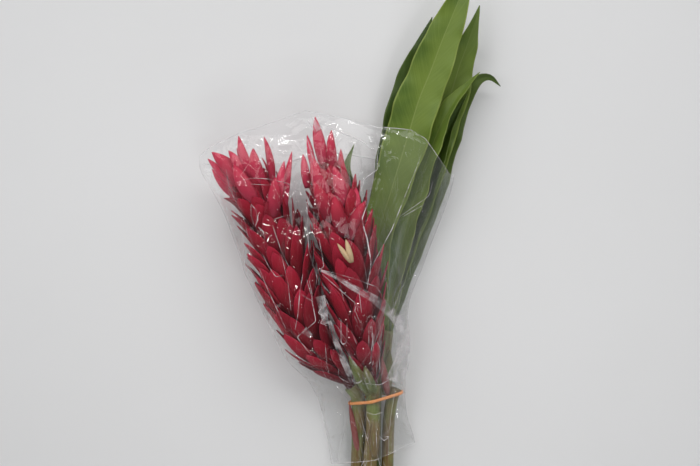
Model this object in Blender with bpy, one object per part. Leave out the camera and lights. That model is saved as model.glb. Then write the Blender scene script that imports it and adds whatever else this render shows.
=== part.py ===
"""Bunch of red ginger flowers, lying on a surface.

Two flower heads on cut stems and one leafy shoot are held by a rubber band and stand in an open clear film
sleeve. Metres, +Z up, +Y from the cut ends to the leaf tips. The origin is on the surface below the bunch.
"""

import math
import random

import bmesh
import bpy
import numpy as np

MM = 0.001

# Routes are hand-chosen points in millimetres: x to the right, y towards the leaf tips, z above the surface.
LEFT_HEAD_ROUTE = [
    (1, -156, 24), (-9, -141, 29), (-38, -107, 38), (-56, -67, 42),
    (-70, -17, 43), (-86, 23, 44), (-102, 49, 46), (-118, 64, 48),
]
CENTRE_HEAD_ROUTE = [
    (23, -152, 38), (20, -138, 42), (12, -107, 48), (6, -67, 53),
    (-3, -17, 55), (-15, 33, 54), (-24, 73, 53), (-31, 102, 53),
]
# Distance from the head's base, and the reach of the bracts from the axis there, in millimetres.
LEFT_HEAD_REACH = [
    (0, 9), (15, 13), (35, 21), (65, 28), (100, 33), (150, 36), (200, 36), (240, 34), (270, 31), (295, 25), (318, 13),
]
CENTRE_HEAD_REACH = [
    (0, 9), (15, 13), (35, 22), (60, 29), (95, 34), (130, 38), (160, 38), (195, 32), (225, 24), (250, 17), (275, 11),
    (310, 6),
]
# Long single bracts that stand out at the tips of the heads: root, tip and half width.
LEFT_TIP_BRACTS = [
    ((-112, 42, 48), (-140, 73, 55), 4.5), ((-103, 42, 56), (-135, 79, 62), 8), ((-108, 32, 38), (-138, 64, 40), 4.5),
    ((-100, 46, 60), (-118, 80, 68), 6), ((-92, 50, 62), (-108, 94, 70), 5), ((-84, 42, 62), (-94, 82, 70), 7),
    ((-76, 44, 58), (-84, 94, 63), 3.8), ((-72, 22, 60), (-64, 70, 66), 5), ((-64, 24, 52), (-57, 80, 58), 3.6),
]
CENTRE_TIP_BRACTS = [
    ((-24, 62, 62), (-34, 113, 66), 6), ((-14, 56, 62), (-18, 100, 66), 5.2), ((-10, 42, 60), (-9, 82, 64), 3.8),
    ((-34, 56, 56), (-42, 96, 58), 3.4), ((-18, 28, 72), (-36, 74, 76), 7), ((0, 10, 66), (6, 44, 70), 6.4),
]
TIP_BRACT_BOW = 0.004
# The line in plan where the two heads press on each other, x and y in millimetres.
PARTING = [(12, -152), (7, -137), (-14, -107), (-25, -67), (-36, -17), (-44, 33), (-47, 73), (-52, 120)]
PARTING_GAP = 0.001

CORE_SHARE = 0.5  # the core's radius as a share of the reach
CORE_SIDES = 7
CORE_STEP = 0.030
DIVERGENCE = math.radians(137.5)  # turn from one bract to the next
BRACT_LENGTH = 0.054
BRACT_HALF_WIDTH = 0.0140
BRACT_THICKNESS = 0.0012
BRACT_PAST_TIP = 0.004  # how far the last bracts reach past the end of the axis
BRACT_CUP_RADIUS = 0.015
# Share of a bract's length, and its half width there as a share of the widest.
BRACT_OUTLINE = [(0.0, 0.6), (0.4, 1.0), (0.76, 0.8), (1.0, 0.12)]

STEM_RADIUS = 0.0072
STEM_BASE_GAP = 0.0012
STEM_STEP = 0.014
TIE_X, TIE_Y = 0.024, -0.168
LEFT_STEM_ROUTE = [(8, -168, 21), (9, -200, 19), (7, -260, 15), (4, -350, 9.5)]
CENTRE_STEM_ROUTE = [(23, -168, 33), (23, -200, 31), (18, -260, 28), (12, -358, 24)]
SHOOT_STEM_ROUTE = [
    (37, -100, 12), (34, -125, 12.5), (28, -150, 13), (25, -168, 13), (24, -200, 12), (24, -260, 10.5),
    (22, -346, 9.5),
]
SHOOT_STEM_RADIUS = 0.0078
STUB_ROUTE = [(46, -158, 24), (42, -172, 23), (39, -200, 22), (38, -260, 21.5), (37, -354, 19)]
STUB_RADIUS = 0.0062

BAND_RADIUS = 0.0015
BAND_GAP = 0.0007
BAND_SLANT = 0.22  # rise in y for each step in x, as the band lies aslant on the stems
BAND_POINTS = 40

LEAF_THICKNESS = 0.0010
LEAF_ROWS = 14
LEAF_OUTLINE = [
    (0.0, 0.16), (0.12, 0.42), (0.27, 0.68), (0.40, 0.86), (0.55, 1.0), (0.70, 0.90), (0.80, 0.74), (0.88, 0.48),
    (0.95, 0.20), (1.0, 0.04),
]
# Each leaf: midrib route, half width in millimetres, roll at the base and at the tip, fold along the midrib and
# margin wave in millimetres. A positive roll lowers the side at the left.
LEAVES = {
    "front": (
        [(37, -112, 15), (31, -67, 13), (29, -5, 19), (41, 40, 27), (53, 80, 33), (60, 103, 36), (69, 133, 39),
         (80, 160, 41), (92, 192, 43), (108, 231, 44), (117, 256, 43), (124, 278, 41)],
        23.5, 22, 2, 14, 2.2,
    ),
    "behind_front": (
        [(37, -110, 12), (32, -60, 8), (32, 0, 11), (44, 60, 19), (52, 110, 26), (60, 150, 30), (71, 185, 31),
         (83, 218, 30)],
        20.0, 14, 4, 12, 1.8,
    ),
    "tall": (
        [(38, -110, 12), (42, -70, 10), (52, -20, 12), (66, 30, 17), (80, 80, 22), (92, 115, 25), (102, 141, 27),
         (111, 170, 29), (118, 189, 30), (127, 216, 30), (131, 230, 29)],
        22.0, 6, -8, 12, 2.2,
    ),
    "rolled": (
        [(38, -112, 15), (44, -60, 18), (56, 0, 24), (70, 50, 31), (82, 85, 36), (92, 110, 39), (105, 132, 40),
         (119, 149, 40), (130, 161, 39)],
        16.0, 20, 48, 20, 1.6,
    ),
    "folded": (
        [(38, -110, 13), (46, -65, 14), (60, -10, 19), (76, 35, 25), (88, 72, 30), (98, 100, 32), (108, 121, 33),
         (118, 140, 32)],
        14.0, 15, 42, 26, 1.4,
    ),
    "outer": (
        [(39, -106, 12), (54, -50, 10), (69, 0, 11), (83, 45, 14), (93, 80, 17), (104, 112, 20), (116, 139, 22),
         (129, 155, 24), (142, 158, 25), (153, 149, 24)],
        16.0, 0, -14, 14, 1.8,
    ),
    "narrow": (
        [(35, -118, 10), (22, -75, 6), (9, -20, 5.5), (3, 25, 7), (1, 55, 16), (0, 70, 25), (3, 84, 31)],
        7.5, 0, 30, 16, 0.5,
    ),
}

FILM_THICKNESS = 0.0008
FILM_CLEARANCE = 0.0036
FILM_REACH_ALONG = 0.021  # how far along the sleeve each section looks for what it has to clear
FILM_SECTION_STEP = 0.008
FILM_AROUND = 28
FILM_ALONG = 19
# The sleeve's side folds: y, x and z in millimetres, from its lower rim to its mouth.
FILM_LEFT_FOLD = [
    (-245, -18, 9), (-205, -24, 10), (-170, -32, 13), (-152, -42, 16), (-117, -62, 24), (-77, -89, 32),
    (-47, -101, 36), (-7, -116, 38), (20, -126, 38), (48, -141, 36), (62, -152, 33), (130, -152, 33),
]
FILM_RIGHT_FOLD = [
    (-245, 66, 8), (-217, 68, 8), (-190, 59, 12), (-163, 54, 22), (-127, 58, 30), (-107, 61, 32), (-87, 58, 32),
    (-57, 60, 30), (-17, 70, 26), (18, 88, 22), (40, 100, 20), (60, 104, 18), (130, 104, 18),
]
# The two rims of the mouth and the lower rim: x and y in millimetres.
FRONT_RIM = [(-153, 72), (-105, 98), (-60, 114), (-35, 119), (25, 104), (60, 101), (74, 93), (98, 61), (130, 50)]
BACK_RIM = [(-153, 70), (-115, 68), (-70, 73), (-45, 79), (-10, 83), (25, 77), (60, 68), (98, 58), (130, 50)]
LOWER_RIM = [(-20, -238), (68, -216)]
FLAT_SHARE = 0.26  # half width of the sleeve's flat underside as a share of the sleeve's width

RED = (0.42, 0.012, 0.035, 1)
STEM_GREEN = (0.16, 0.24, 0.06, 1)
LEAF_GREEN = (0.12, 0.25, 0.04, 1)
BAND_ORANGE = (0.85, 0.33, 0.09, 1)
FILM_CLEAR = (0.9, 0.92, 0.93, 0.25)


def clear_scene():
    for obj in list(bpy.data.objects):
        bpy.data.objects.remove(obj, do_unlink=True)


def collection_named(name):
    made = bpy.data.collections.new(name)
    bpy.context.scene.collection.children.link(made)
    return made


def material(name, colour, roughness):
    made = bpy.data.materials.new(name)
    made.use_nodes = True
    shader = made.node_tree.nodes["Principled BSDF"]
    shader.inputs["Base Color"].default_value = colour
    shader.inputs["Alpha"].default_value = colour[3]
    shader.inputs["Roughness"].default_value = roughness
    shader.inputs["Metallic"].default_value = 0.0
    return made


def smooth_route(points, step):
    """Points in metres, a step apart, on a smooth curve through the given points in millimetres."""
    knots = np.array(points, float) * MM
    padded = np.vstack([2 * knots[0] - knots[1], knots, 2 * knots[-1] - knots[-2]])
    dense = []
    for p0, p1, p2, p3 in zip(padded, padded[1:], padded[2:], padded[3:]):
        for t in np.linspace(0, 1, 24, endpoint=False):
            dense.append(
                0.5 * (2 * p1 + (p2 - p0) * t + (2 * p0 - 5 * p1 + 4 * p2 - p3) * t**2
                       + (3 * p1 - p0 - 3 * p2 + p3) * t**3)
            )
    dense = np.array(dense + [knots[-1]])
    travelled = np.concatenate([[0], np.cumsum(np.linalg.norm(np.diff(dense, axis=0), axis=1))])
    count = max(3, round(travelled[-1] / step) + 1)
    wanted = np.linspace(0, travelled[-1], count)
    return np.stack([np.interp(wanted, travelled, dense[:, k]) for k in range(3)], axis=1), travelled[-1]


class Axis:
    """A head's curved axis: places a point by its distance along, its angle round and its distance out."""

    def __init__(self, route):
        self.points, self.length = smooth_route(route, 0.004)
        self.at = np.linspace(0, self.length, len(self.points))
        tangents = np.gradient(self.points, axis=0)
        self.tangents = tangents / np.linalg.norm(tangents, axis=1)[:, None]

    def frame(self, along):
        inside = min(max(along, 0.0), self.length)
        centre = np.array([np.interp(inside, self.at, self.points[:, k]) for k in range(3)])
        tangent = np.array([np.interp(inside, self.at, self.tangents[:, k]) for k in range(3)])
        tangent /= np.linalg.norm(tangent)
        side = np.cross(tangent, (0, 0, 1))
        side /= np.linalg.norm(side)
        return centre + tangent * (along - inside), tangent, side, np.cross(side, tangent)

    def place(self, along, angle, out, across=0.0):
        centre, _, side, up = self.frame(along)
        outward = side * math.cos(angle) + up * math.sin(angle)
        sideways = up * math.cos(angle) - side * math.sin(angle)
        return centre + outward * out + sideways * across


def profile(pairs, at, scale=1.0):
    xs, ys = zip(*pairs)
    return float(np.interp(at, xs, ys)) * scale


def mesh_object(name, vertices, faces, collection):
    mesh = bpy.data.meshes.new(name)
    mesh.from_pydata([tuple(v) for v in vertices], [], faces)
    mesh.update()
    obj = bpy.data.objects.new(name, mesh)
    collection.objects.link(obj)
    return obj


def blade_mesh(name, grid, thickness, collection):
    """A closed thin blade round a grid of middle points (rows, columns, 3), split alike on both faces."""
    grid = np.array(grid, float)
    rows, columns, _ = grid.shape
    along = np.gradient(grid, axis=0)
    across = np.gradient(grid, axis=1)
    normals = np.cross(across, along)
    normals /= np.linalg.norm(normals, axis=2)[:, :, None]
    top = (grid + normals * thickness / 2).reshape(-1, 3)
    bottom = (grid - normals * thickness / 2).reshape(-1, 3)
    count = rows * columns
    faces = []
    for i in range(rows - 1):
        for j in range(columns - 1):
            a, b = i * columns + j, i * columns + j + 1
            c, d = b + columns, a + columns
            faces += [(a, b, c), (a, c, d)]
            faces += [(a + count, c + count, b + count), (a + count, d + count, c + count)]
    rim = [j for j in range(columns)]
    rim += [i * columns + columns - 1 for i in range(1, rows)]
    rim += [(rows - 1) * columns + j for j in range(columns - 2, -1, -1)]
    rim += [i * columns for i in range(rows - 2, 0, -1)]
    for a, b in zip(rim, rim[1:] + rim[:1]):
        faces += [(a, a + count, b + count), (a, b + count, b)]
    return mesh_object(name, np.vstack([top, bottom]), faces, collection)


def tube_mesh(name, rings, collection):
    """A closed loft through rings of equally many points, with a flat cap at each end."""
    sides = len(rings[0])
    vertices = [p for ring in rings for p in ring]
    faces = []
    for i in range(len(rings) - 1):
        for j in range(sides):
            a, b = i * sides + j, i * sides + (j + 1) % sides
            faces.append((a, b, b + sides, a + sides))
    faces.append(tuple(range(sides - 1, -1, -1)))
    faces.append(tuple(range(len(vertices) - sides, len(vertices))))
    obj = mesh_object(name, vertices, faces, collection)
    work = bmesh.new()
    work.from_mesh(obj.data)
    bmesh.ops.recalc_face_normals(work, faces=work.faces)
    bmesh.ops.triangulate(work, faces=work.faces)
    work.to_mesh(obj.data)
    work.free()
    return obj


def fill_pockets(mesh):
    """Makes the solid whole where bracts close off a pocket: an enclosed surface that faces inwards goes."""
    work = bmesh.new()
    work.from_mesh(mesh)
    unseen = set(work.faces)
    while unseen:
        shell, edge = set(), [next(iter(unseen))]
        while edge:
            face = edge.pop()
            if face in shell:
                continue
            shell.add(face)
            edge += [other for link in face.edges for other in link.link_faces if other not in shell]
        unseen -= shell
        volume = 0.0
        for face in shell:
            a = face.verts[0].co
            for b, c in zip(face.verts[1:], face.verts[2:]):
                volume += a.dot(b.co.cross(c.co)) / 6
        if volume <= 0:
            bmesh.ops.delete(work, geom=list(shell), context="FACES")
    loose = [v for v in work.verts if not v.link_faces]
    bmesh.ops.delete(work, geom=loose, context="VERTS")
    work.to_mesh(mesh)
    work.free()


def joined(body, repeats, name, parts, finish):
    """One solid of the body and every object in the repeats collection, by one Boolean union."""
    union = body.modifiers.new("join", "BOOLEAN")
    union.operation = "UNION"
    union.solver = "MANIFOLD"
    union.operand_type = "COLLECTION"
    union.collection = repeats
    evaluated = body.evaluated_get(bpy.context.evaluated_depsgraph_get())
    mesh = bpy.data.meshes.new_from_object(evaluated)
    fill_pockets(mesh)
    for obj in [body, *repeats.objects]:
        bpy.data.objects.remove(obj, do_unlink=True)
    bpy.data.collections.remove(repeats)
    made = bpy.data.objects.new(name, mesh)
    parts.objects.link(made)
    mesh.materials.clear()
    mesh.materials.append(finish)
    return made


def parting_x(y):
    xs, ys = zip(*PARTING)
    return float(np.interp(y, np.array(ys) * MM, np.array(xs) * MM))


def bract_grid(axis, reach, base, angle, length, half_width, lift, side):
    """Middle points of one boat-shaped bract that leaves the core at base and ends at the reach.

    The side is -1 for a head left of the parting line and 1 for one right of it.
    """
    root = profile(reach, base / MM, MM) * CORE_SHARE * 0.55
    tip = profile(reach, (base + length) / MM, MM) * lift
    columns = (-1, 0, 1)
    grid = []
    for share, width in BRACT_OUTLINE:
        out = root + (tip - root) * share**0.7
        row = []
        for u in columns:
            across = u * width * half_width
            drop = across**2 / (2 * BRACT_CUP_RADIUS)
            point = axis.place(base + length * share, angle, out - drop, across)
            beyond = side * (parting_x(point[1]) + side * PARTING_GAP - point[0])
            point[0] += side * max(0.0, beyond)
            row.append(point)
        grid.append(row)
    return grid


def single_bract(root, tip, half_width):
    """Middle points of one long bract from its root to its tip, hollow side down."""
    root, tip = np.array(root, float) * MM, np.array(tip, float) * MM
    along = tip - root
    across = np.cross(along, (0, 0, 1))
    across /= np.linalg.norm(across)
    up = np.cross(across, along)
    up /= np.linalg.norm(up)
    grid = []
    for share, width in BRACT_OUTLINE:
        reach = width * half_width * MM
        bow = TIP_BRACT_BOW * math.sin(math.pi * share)
        grid.append([root + along * share + across * u * reach + up * (bow - u * u * reach * 0.5) for u in (-1, 0, 1)])
    return grid


def bract_bases(axis, count):
    """Distances along the axis where bracts leave the core, from the base to just below the tip."""
    first, last = 0.004, axis.length - 0.030
    return [first + (last - first) * (i / (count - 1)) ** 0.97 for i in range(count)]


def head(name, route, reach, count, seed, side, tips, parts, finish):
    """One flower head: a core with bracts on a spiral, each rooted in the core."""
    draw = random.Random(seed)
    axis = Axis(route)
    rings = []
    for along in np.linspace(0, axis.length - 0.004, round(axis.length / CORE_STEP)):
        radius = profile(reach, along / MM, MM) * CORE_SHARE
        rings.append([axis.place(along, 2 * math.pi * k / CORE_SIDES, radius) for k in range(CORE_SIDES)])
    core = tube_mesh(name + "_core", rings, parts)
    bracts = collection_named(name + "_bracts")
    for index, base in enumerate(bract_bases(axis, count)):
        ripe = min(1.0, 0.62 + base / 0.12)
        length = min(BRACT_LENGTH * ripe * draw.uniform(0.92, 1.08), axis.length + BRACT_PAST_TIP - base)
        half_width = BRACT_HALF_WIDTH * ripe * draw.uniform(0.9, 1.06)
        half_width = min(half_width, profile(reach, (base + length) / MM, MM) * 0.75 + 0.002)
        angle = index * DIVERGENCE + math.radians(draw.uniform(-7, 7))
        lift = draw.uniform(0.88, 1.0)
        grid = bract_grid(axis, reach, base, angle, length, half_width, lift, side)
        blade_mesh(f"{name}_bract_{index}", grid, BRACT_THICKNESS, bracts)
    for index, tip in enumerate(tips):
        blade_mesh(f"{name}_tip_bract_{index}", single_bract(*tip), BRACT_THICKNESS, bracts)
    return joined(core, bracts, name, parts, finish)


def stem_rings(points, radius, sides=10):
    """Round sections along a route of points in metres."""
    tangents = np.gradient(points, axis=0)
    rings = []
    for point, tangent in zip(points, tangents):
        tangent = tangent / np.linalg.norm(tangent)
        side = np.cross(tangent, (0, 0, 1))
        side /= np.linalg.norm(side)
        up = np.cross(side, tangent)
        turns = [2 * math.pi * k / sides for k in range(sides)]
        rings.append([point + (side * math.cos(a) + up * math.sin(a)) * radius for a in turns])
    return rings


def cut_stem(name, route, radius, parts, finish):
    """A plain stem from its flower or its broken end down to the cut end."""
    points, _ = smooth_route(route, STEM_STEP)
    stem = tube_mesh(name, stem_rings(points, radius), parts)
    stem.data.materials.append(finish)
    return stem


def flower_stem_route(head_route, stem_route):
    """A stem's route that starts a small gap below its head's base."""
    base, next_up = np.array(head_route[0], float), np.array(head_route[1], float)
    downward = (base - next_up) / np.linalg.norm(base - next_up)
    return [tuple(base + downward * STEM_BASE_GAP / MM), *stem_route]


def leaf_grid(route, half_width, roll_base, roll_tip, fold, wave, phase):
    """Middle points of one leaf blade: folded along the midrib, with waved margins."""
    points, length = smooth_route(route, 0.004)
    at = np.linspace(0, 1, len(points))
    columns = (-1, -0.5, 0, 0.5, 1)
    grid = []
    for share in np.linspace(0, 1, LEAF_ROWS + 1):
        centre = np.array([np.interp(share, at, points[:, k]) for k in range(3)])
        ahead = np.array([np.interp(min(share + 0.02, 1), at, points[:, k]) for k in range(3)])
        behind = np.array([np.interp(max(share - 0.02, 0), at, points[:, k]) for k in range(3)])
        tangent = (ahead - behind) / np.linalg.norm(ahead - behind)
        right = np.cross(tangent, (0, 0, 1))
        right /= np.linalg.norm(right)
        up = np.cross(right, tangent)
        roll = math.radians(roll_base + (roll_tip - roll_base) * share)
        rolled_right = right * math.cos(roll) + up * math.sin(roll)
        rolled_up = up * math.cos(roll) - right * math.sin(roll)
        reach = profile(LEAF_OUTLINE, share) * half_width * MM
        row = []
        for u in columns:
            ripple = math.sin(share * length / 0.058 * 2 * math.pi + phase + (1.3 if u > 0 else 0))
            lift = abs(u) * reach * math.tan(math.radians(fold)) + u * u * wave * MM * ripple * min(1, reach / 0.01)
            row.append(centre + rolled_right * u * reach * math.cos(math.radians(fold)) + rolled_up * lift)
        grid.append(row)
    return grid


def leafy_shoot(parts, finish):
    """The leafy shoot: its stem with every leaf grown from it."""
    points, _ = smooth_route(SHOOT_STEM_ROUTE, STEM_STEP)
    stem = tube_mesh("shoot_stem", stem_rings(points, SHOOT_STEM_RADIUS), parts)
    blades = collection_named("blades")
    for index, (key, leaf) in enumerate(LEAVES.items()):
        blade_mesh("blade_" + key, leaf_grid(*leaf, phase=index * 1.7), LEAF_THICKNESS, blades)
    return joined(stem, blades, "leafy_shoot", parts, finish)


def convex_outline(points):
    """The convex hull of points in a plane, anticlockwise."""
    ordered = sorted(set((float(a), float(b)) for a, b in points))

    def half(run):
        chain = []
        for p in run:
            while len(chain) > 1 and turn(chain[-2], chain[-1], p) <= 0:
                chain.pop()
            chain.append(p)
        return chain[:-1]

    def turn(o, a, b):
        return (a[0] - o[0]) * (b[1] - o[1]) - (a[1] - o[1]) * (b[0] - o[0])

    return half(ordered) + half(reversed(ordered))


def band_y(x):
    return TIE_Y + BAND_SLANT * (x - TIE_X)


def rubber_band(tied, parts, finish):
    """A round rubber band pulled tight over the tied stems, as a closed curve round their outline."""
    outline = []
    for route, radius in tied:
        coarse, _ = smooth_route(route, STEM_STEP)
        points = np.vstack([a + (b - a) * t for a, b in zip(coarse, coarse[1:]) for t in np.linspace(0, 1, 12)])
        out = radius + BAND_GAP + BAND_RADIUS
        for k in range(32):
            turn = 2 * math.pi * k / 32
            x = TIE_X
            for _ in range(4):
                centre = points[np.argmin(np.abs(points[:, 1] - band_y(x)))]
                x = centre[0] + out * math.cos(turn)
            outline.append((x, centre[2] + out * math.sin(turn)))
    hull = np.array(convex_outline(outline))
    closed = np.vstack([hull, hull[:1]])
    travelled = np.concatenate([[0], np.cumsum(np.linalg.norm(np.diff(closed, axis=0), axis=1))])
    wanted = np.linspace(0, travelled[-1], BAND_POINTS, endpoint=False)
    curve = bpy.data.curves.new("rubber_band", "CURVE")
    curve.dimensions = "3D"
    curve.bevel_depth = BAND_RADIUS
    curve.bevel_resolution = 2
    spline = curve.splines.new("POLY")
    spline.points.add(BAND_POINTS - 1)
    spline.use_cyclic_u = True
    for point, at in zip(spline.points, wanted):
        x = np.interp(at, travelled, closed[:, 0])
        z = np.interp(at, travelled, closed[:, 1])
        point.co = (x, band_y(x), z, 1)
    curve.materials.append(finish)
    band = bpy.data.objects.new("rubber_band", curve)
    parts.objects.link(band)
    return band


def world_points(objects):
    """Every vertex of the objects, as the viewport evaluates them."""
    graph = bpy.context.evaluated_depsgraph_get()
    found = []
    for obj in objects:
        mesh = obj.evaluated_get(graph).to_mesh()
        for edge in mesh.edges:
            a, b = (mesh.vertices[i].co.copy() for i in edge.vertices)
            found += [tuple(a), tuple((a + b) / 2), tuple(b)]
        obj.evaluated_get(graph).to_mesh_clear()
    return np.array(found)


def fold_at(fold, y):
    ys, xs, zs = np.array(fold, float).T * MM
    return float(np.interp(y, ys, xs)), float(np.interp(y, ys, zs))


def resampled(chain, count):
    """Points spread evenly along a chain, its ends included."""
    chain = np.array(chain)
    travelled = np.concatenate([[0], np.cumsum(np.linalg.norm(np.diff(chain, axis=0), axis=1))])
    wanted = np.linspace(0, travelled[-1], count)
    return np.stack([np.interp(wanted, travelled, chain[:, k]) for k in range(2)], axis=1)


def grown_to_hold(loop, corners):
    """Moves the points of a clockwise loop outwards until every corner of what it holds is inside it."""
    loop = loop.copy()
    for _ in range(4):
        for corner in corners:
            step = np.roll(loop, -1, axis=0) - loop
            size = np.linalg.norm(step, axis=1)
            normal = np.stack([-step[:, 1], step[:, 0]], axis=1) / size[:, None]
            share = ((corner - loop) * step).sum(axis=1) / size**2
            out = ((corner - loop) * normal).sum(axis=1)
            out_or_far = np.where((share >= -0.01) & (share <= 1.01), np.abs(out), 1.0)
            nearest = int(np.argmin(out_or_far))
            if out_or_far[nearest] < 1.0 and out[nearest] > 0:
                loop[nearest] += normal[nearest] * out[nearest]
                loop[(nearest + 1) % len(loop)] += normal[nearest] * out[nearest]
    loop[:, 1] = np.maximum(loop[:, 1], FILM_THICKNESS)
    return loop


def film_section(contents, y):
    """The taut film round what the sleeve holds at y: a loop from the left fold over the front and back below."""
    near = contents[np.abs(contents[:, 1] - y) < FILM_REACH_ALONG]
    left, right = fold_at(FILM_LEFT_FOLD, y), fold_at(FILM_RIGHT_FOLD, y)
    points = [left, right]
    for k in range(8):
        turn = 2 * math.pi * k / 8
        shifted = near[:, [0, 2]] + FILM_CLEARANCE * np.array([math.cos(turn), math.sin(turn)])
        points += [tuple(p) for p in shifted]
    middle, flat = (left[0] + right[0]) / 2, (right[0] - left[0]) * FLAT_SHARE
    points += [(middle - flat, FILM_THICKNESS), (middle + flat, FILM_THICKNESS)]
    points = [(x, max(z, FILM_THICKNESS)) for x, z in points]
    hull = convex_outline(points)
    start = min(range(len(hull)), key=lambda i: hull[i][0])
    hull = hull[start:] + hull[:start]
    far = max(range(len(hull)), key=lambda i: hull[i][0])
    back = hull[: far + 1]
    front = (hull[far:] + hull[:1])[::-1]
    half = FILM_AROUND // 2
    over = resampled(front, half + 1)
    under = resampled(back, half + 1)
    return grown_to_hold(np.vstack([over, under[-2:0:-1]]), np.array(hull))


def film_sleeve(contents, parts, finish):
    """The clear sleeve: a taut skin round the bunch, open at its mouth and at its lower rim."""
    lowest, highest = -0.245, 0.128
    ys = np.arange(lowest, highest, FILM_SECTION_STEP)
    sections = np.array([film_section(contents, y) for y in ys])
    half = FILM_AROUND // 2
    rings = np.zeros((FILM_ALONG + 1, FILM_AROUND, 3))
    for j in range(FILM_AROUND):
        rim = FRONT_RIM if 0 < j < half else BACK_RIM
        top, bottom = 0.07, -0.23
        for _ in range(12):
            top = profile(rim, np.interp(top, ys, sections[:, j, 0]) / MM, MM)
            bottom = profile(LOWER_RIM, np.interp(bottom, ys, sections[:, j, 0]) / MM, MM)
        for i, share in enumerate(np.linspace(0, 1, FILM_ALONG + 1)):
            y = bottom + (top - bottom) * share
            rings[i, j] = (np.interp(y, ys, sections[:, j, 0]), y, np.interp(y, ys, sections[:, j, 1]))
    ahead, behind = np.roll(rings, -1, axis=1), np.roll(rings, 1, axis=1)
    round_it = (ahead - behind) / np.linalg.norm((ahead - behind)[:, :, [0, 2]], axis=2)[:, :, None]
    outward = np.stack([-round_it[:, :, 2], np.zeros(rings.shape[:2]), round_it[:, :, 0]], axis=2)
    outer = rings + outward * FILM_THICKNESS
    outer[:, :, 2] = np.maximum(outer[:, :, 2], 0)
    faces = []
    count = rings.shape[0] * FILM_AROUND
    for j in range(FILM_AROUND):
        beside = (j + 1) % FILM_AROUND
        for i in range(FILM_ALONG):
            a, b = i * FILM_AROUND + j, i * FILM_AROUND + beside
            c, d = b + FILM_AROUND, a + FILM_AROUND
            faces += [(a + count, b + count, d + count), (b + count, c + count, d + count), (a, d, b), (b, d, c)]
        last = FILM_ALONG * FILM_AROUND
        faces += [(j, beside, beside + count), (j, beside + count, j + count)]
        faces += [
            (last + j, last + beside + count, last + beside), (last + j, last + j + count, last + beside + count),
        ]
    vertices = np.vstack([rings.reshape(-1, 3), outer.reshape(-1, 3)])
    sleeve = mesh_object("film_sleeve", vertices, faces, parts)
    sleeve.data.materials.append(finish)
    return sleeve


def stand_on_origin(parts):
    """Moves the whole bunch so that the middle of its underside is at the origin."""
    bpy.context.view_layer.update()
    points = world_points(parts.objects)
    middle = (points.min(axis=0) + points.max(axis=0)) / 2
    for obj in parts.objects:
        obj.location = (-middle[0], -middle[1], -points[:, 2].min())


def main():
    clear_scene()
    parts = collection_named("red_ginger_bunch")
    red = material("bract_red", RED, 0.4)
    stem_green = material("stem_green", STEM_GREEN, 0.5)
    leaf_green = material("leaf_green", LEAF_GREEN, 0.45)
    orange = material("band_orange", BAND_ORANGE, 0.6)
    clear = material("clear_film", FILM_CLEAR, 0.1)
    left_route = flower_stem_route(LEFT_HEAD_ROUTE, LEFT_STEM_ROUTE)
    centre_route = flower_stem_route(CENTRE_HEAD_ROUTE, CENTRE_STEM_ROUTE)
    tied = [
        (left_route, STEM_RADIUS), (centre_route, STEM_RADIUS), (SHOOT_STEM_ROUTE, SHOOT_STEM_RADIUS),
        (STUB_ROUTE, STUB_RADIUS),
    ]
    contents = [
        head("flower_head_left", LEFT_HEAD_ROUTE, LEFT_HEAD_REACH, 52, 3, -1, LEFT_TIP_BRACTS, parts, red),
        head("flower_head_centre", CENTRE_HEAD_ROUTE, CENTRE_HEAD_REACH, 50, 8, 1, CENTRE_TIP_BRACTS, parts, red),
        cut_stem("stem_left", left_route, STEM_RADIUS, parts, stem_green),
        cut_stem("stem_centre", centre_route, STEM_RADIUS, parts, stem_green),
        cut_stem("cut_shoot", STUB_ROUTE, STUB_RADIUS, parts, stem_green),
        leafy_shoot(parts, leaf_green),
        rubber_band(tied, parts, orange),
    ]
    film_sleeve(world_points(contents), parts, clear)
    stand_on_origin(parts)


main()
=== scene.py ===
"""Looks of a bunch of red ginger flowers that lies in a clear film sleeve, seen from straight above.

Routes are in millimetres: x to the right, y towards the leaf tips, z above the surface. They are the part's
own, apart from the narrow leaf and small steps in the sleeve's front rim. The heads have more and finer bracts,
and the left one is slimmer near its tip.
"""

import math
import random

import bpy
import numpy as np
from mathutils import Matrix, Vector


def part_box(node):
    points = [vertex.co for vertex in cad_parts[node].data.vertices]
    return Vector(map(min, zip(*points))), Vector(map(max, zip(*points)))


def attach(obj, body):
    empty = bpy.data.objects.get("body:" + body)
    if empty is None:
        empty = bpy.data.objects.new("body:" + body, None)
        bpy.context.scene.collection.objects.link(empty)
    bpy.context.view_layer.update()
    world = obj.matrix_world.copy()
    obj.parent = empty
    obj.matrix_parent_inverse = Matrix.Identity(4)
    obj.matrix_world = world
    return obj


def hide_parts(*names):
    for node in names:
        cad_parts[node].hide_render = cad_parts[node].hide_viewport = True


MM = 0.001
BAND_MIDDLE = (26.16, -167.53, 22.77)  # the rubber band's middle in the routes' millimetres

LEFT_HEAD_ROUTE = [
    (1, -156, 24), (-9, -141, 29), (-38, -107, 38), (-56, -67, 42),
    (-70, -17, 43), (-86, 23, 44), (-102, 49, 46), (-118, 64, 48),
]
CENTRE_HEAD_ROUTE = [
    (23, -152, 38), (20, -138, 42), (12, -107, 48), (6, -67, 53),
    (-3, -17, 55), (-15, 33, 54), (-24, 73, 53), (-31, 102, 53),
]
# How far the bracts reach out from a head's axis: the place along it, then the reach.
LEFT_HEAD_REACH = [
    (0, 9), (15, 13), (35, 21), (65, 28), (100, 33), (150, 36), (200, 34), (240, 29), (270, 27), (295, 23),
    (318, 13),
]
CENTRE_HEAD_REACH = [
    (0, 9), (15, 13), (35, 22), (60, 29), (95, 34), (130, 38), (160, 38), (195, 32), (225, 24), (250, 17),
    (275, 11), (310, 6),
]
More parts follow.
